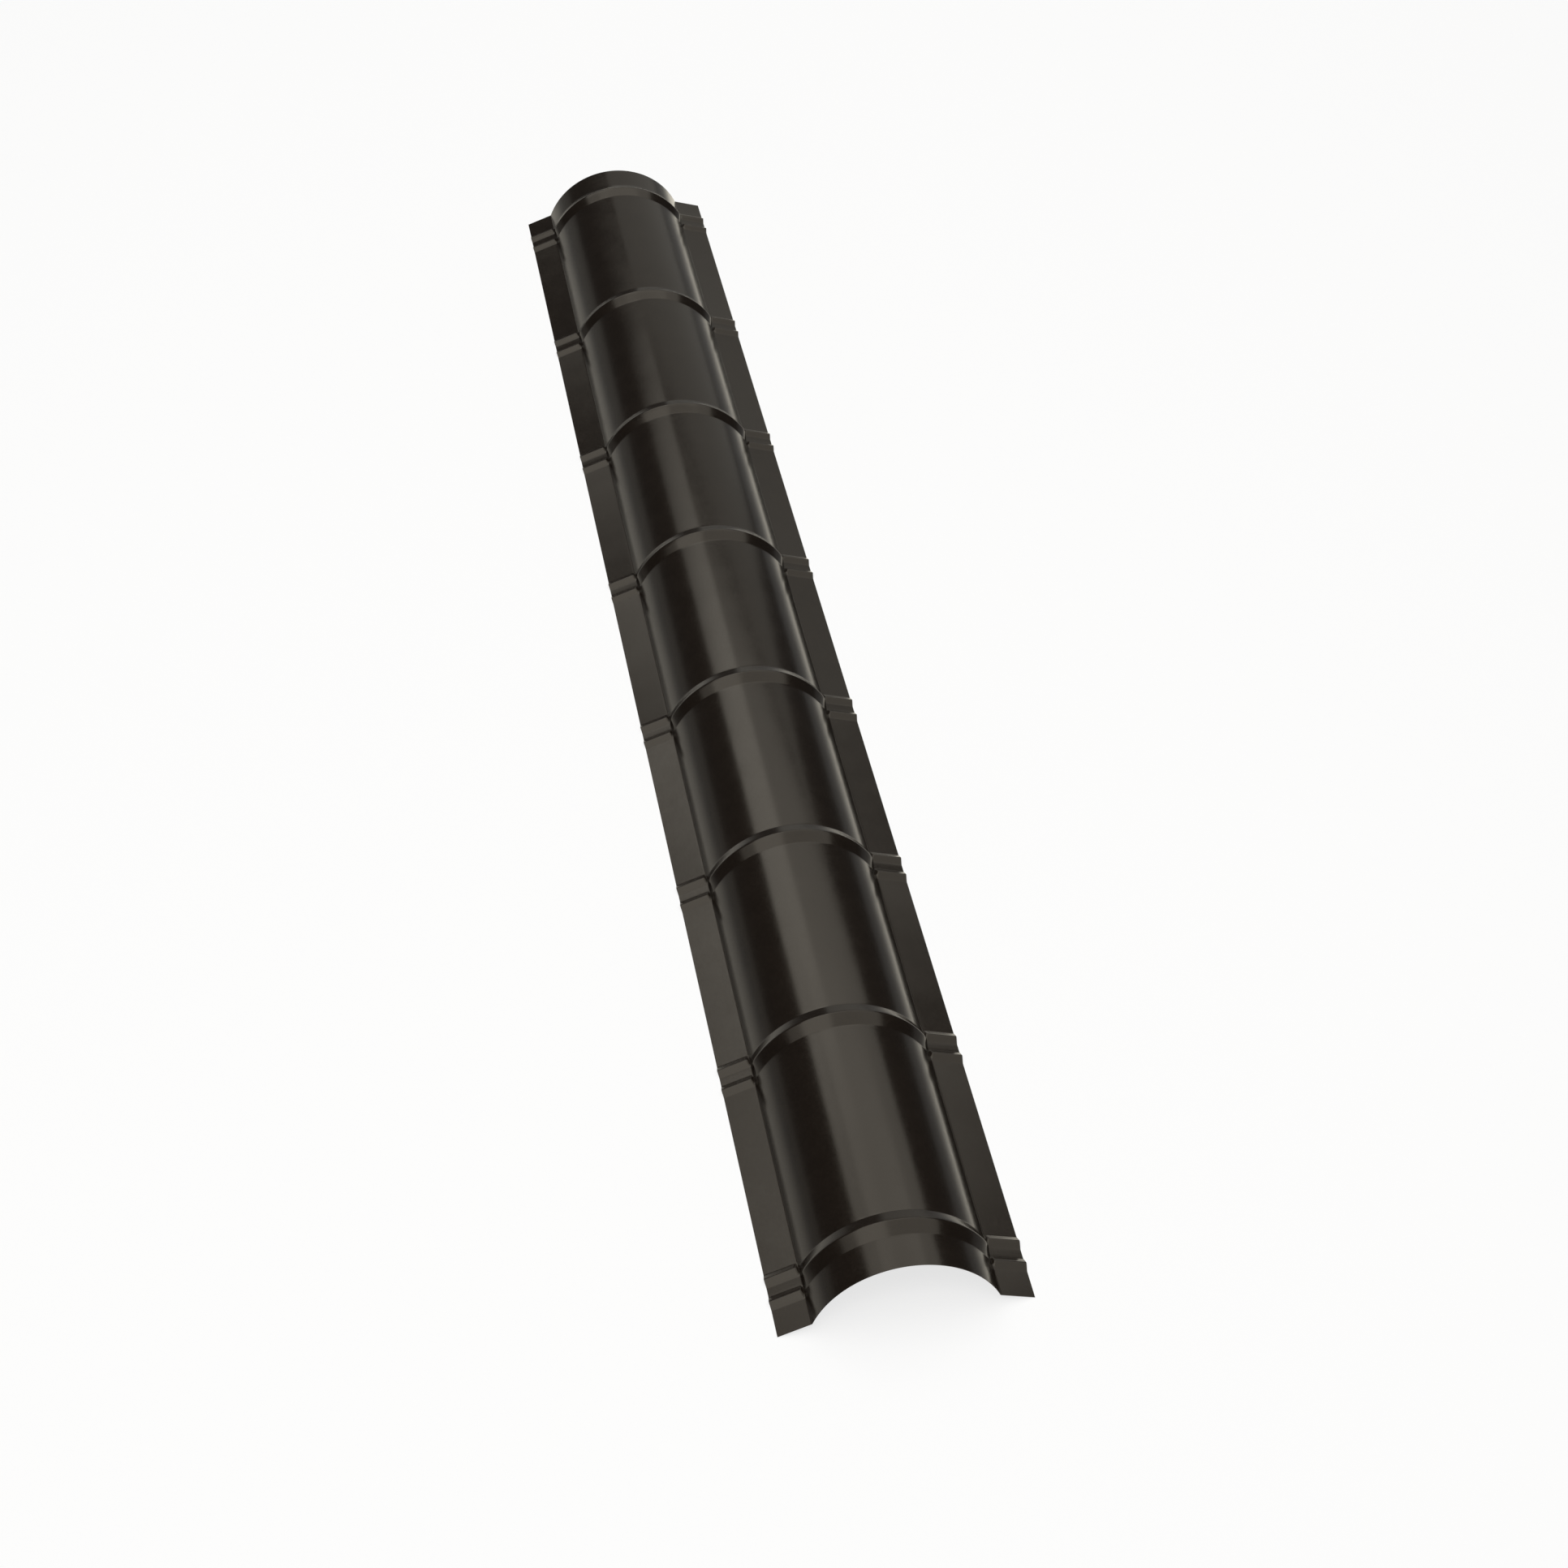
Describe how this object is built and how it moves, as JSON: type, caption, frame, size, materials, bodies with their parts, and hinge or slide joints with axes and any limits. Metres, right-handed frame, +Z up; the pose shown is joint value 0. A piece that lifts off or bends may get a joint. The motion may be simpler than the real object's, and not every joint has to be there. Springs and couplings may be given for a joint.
{
  "type": "roof ridge cap",
  "caption": "Half-round sheet-steel ridge cap with sloping side flanges, raised cross ribs over the crown and pairs of crimps across the flanges.",
  "frame": {"origin": "middle of the length and of the width, at the level of the two long outer edges that the cap rests on", "axes": "+Y along the ridge, +X across it, +Z up out of the crown"},
  "size_m": [0.2386, 2, 0.0737],
  "materials": {
    "painted_sheet": "near-black dark brown coil paint, satin"
  },
  "bodies": {
    "root": {"ridge_cap": "painted_sheet"}
  },
  "joints": []
}
